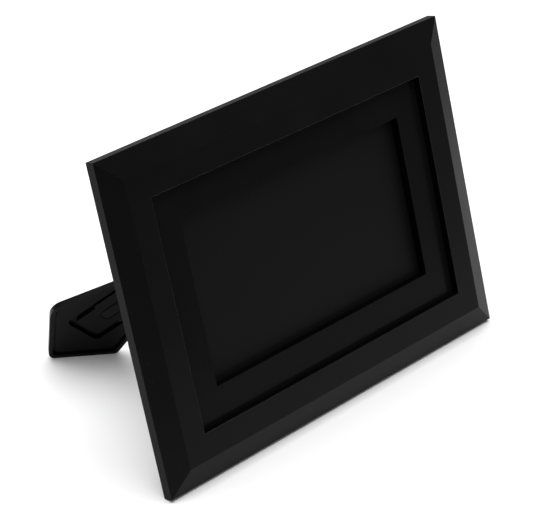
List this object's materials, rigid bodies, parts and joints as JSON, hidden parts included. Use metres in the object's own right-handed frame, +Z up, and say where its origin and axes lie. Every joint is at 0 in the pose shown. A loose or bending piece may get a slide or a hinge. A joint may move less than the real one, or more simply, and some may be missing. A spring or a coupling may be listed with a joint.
{
  "type": "digital photo frame",
  "caption": "Tabletop electronic picture display in a bevelled rectangular surround with a recessed border, standing on a diagonal folding rear leg.",
  "frame": {"origin": "on the table, under the centre of the object's own box, with the frame leaning back on its bottom edge and its open leg", "axes": "+X to the right seen from the front and along the longest side, -Y towards the viewer, +Z up from the table"},
  "size_m": [0.2384, 0.139, 0.1641],
  "materials": {
    "black_rail": "fine matte black moulding, even and slightly rough",
    "black_mat": "half-gloss black border that mirrors softly",
    "screen_glass": "dark anti-glare polariser film over the glass",
    "cover_plastic": "black moulded plastic with a fine spark-eroded grain",
    "leg_plastic": "satin black moulded plastic",
    "button_plastic": "satin dark grey plastic",
    "screw_steel": "zinc-plated steel",
    "black_screw": "blackened steel",
    "sheet_steel": "bright tinned steel sheet",
    "hinge_steel": "nickel-plated steel",
    "white_plastic": "white reflector plastic",
    "lamp_glass": "phosphor-coated lamp glass",
    "circuit_board": "green solder-masked board",
    "chip_black": "moulded black chip packages",
    "ribbon_amber": "amber polyimide film",
    "ribbon_white": "white flat cable",
    "tape_yellow": "yellow winding tape",
    "speaker_black": "black speaker basket and cone"
  },
  "bodies": {
    "frame_body": {"front_frame": "black_rail", "mat_bezel": "black_mat", "mat_screws": "screw_steel", "lcd_panel": "screen_glass", "lcd_frame": "sheet_steel", "backlight_unit": "white_plastic", "backlight_lamp": "lamp_glass", "lcd_bracket_left": "sheet_steel", "lcd_bracket_right": "sheet_steel", "bracket_screws": "screw_steel", "lcd_ribbon": "ribbon_amber", "main_board": "circuit_board", "main_chips": "chip_black", "board_screws": "screw_steel", "inverter_board": "circuit_board", "inverter_transformer": "tape_yellow", "button_board": "circuit_board", "button_switches": "sheet_steel", "button_ribbon": "ribbon_white", "card_slot": "sheet_steel", "usb_socket": "sheet_steel", "dc_jack": "chip_black", "power_switch": "sheet_steel", "speaker_left": "speaker_black", "speaker_right": "speaker_black", "rear_cover": "cover_plastic", "cover_screws": "black_screw", "hinge_plate": "hinge_steel", "hinge_screws": "screw_steel", "hinge_pin": "hinge_steel"},
    "leg": {"stand_leg": "leg_plastic", "leg_strip": "black_screw", "strip_rivets": "black_screw"},
    "slider": {"power_slider": "button_plastic"},
    "button_menu_cap": {"button_menu": "button_plastic"},
    "button_up_cap": {"button_up": "button_plastic"},
    "button_down_cap": {"button_down": "button_plastic"},
    "button_left_cap": {"button_left": "button_plastic"},
    "button_right_cap": {"button_right": "button_plastic"},
    "button_enter_cap": {"button_enter": "button_plastic"}
  },
  "joints": [
    {"name": "stand_hinge", "type": "hinge", "parent": "frame_body", "child": "leg", "pos_m": [-0.01745, -0.01493, 0.0948], "axis": [0.7071, -0.2185, -0.6725], "range_deg": [-51, 0]},
    {"name": "power_slide", "type": "slide", "parent": "frame_body", "child": "slider", "axis": [0, 0.309, 0.9511], "range_m": [0, 0.003]},
    {"name": "button_menu_press", "type": "slide", "parent": "frame_body", "child": "button_menu_cap", "axis": [0, -0.9511, 0.309], "range_m": [0, 0.0006], "stiffness_N_per_m": 400},
    {"name": "button_up_press", "type": "slide", "parent": "frame_body", "child": "button_up_cap", "axis": [0, -0.9511, 0.309], "range_m": [0, 0.0006], "stiffness_N_per_m": 400},
    {"name": "button_down_press", "type": "slide", "parent": "frame_body", "child": "button_down_cap", "axis": [0, -0.9511, 0.309], "range_m": [0, 0.0006], "stiffness_N_per_m": 400},
    {"name": "button_left_press", "type": "slide", "parent": "frame_body", "child": "button_left_cap", "axis": [0, -0.9511, 0.309], "range_m": [0, 0.0006], "stiffness_N_per_m": 400},
    {"name": "button_right_press", "type": "slide", "parent": "frame_body", "child": "button_right_cap", "axis": [0, -0.9511, 0.309], "range_m": [0, 0.0006], "stiffness_N_per_m": 400},
    {"name": "button_enter_press", "type": "slide", "parent": "frame_body", "child": "button_enter_cap", "axis": [0, -0.9511, 0.309], "range_m": [0, 0.0006], "stiffness_N_per_m": 400}
  ]
}
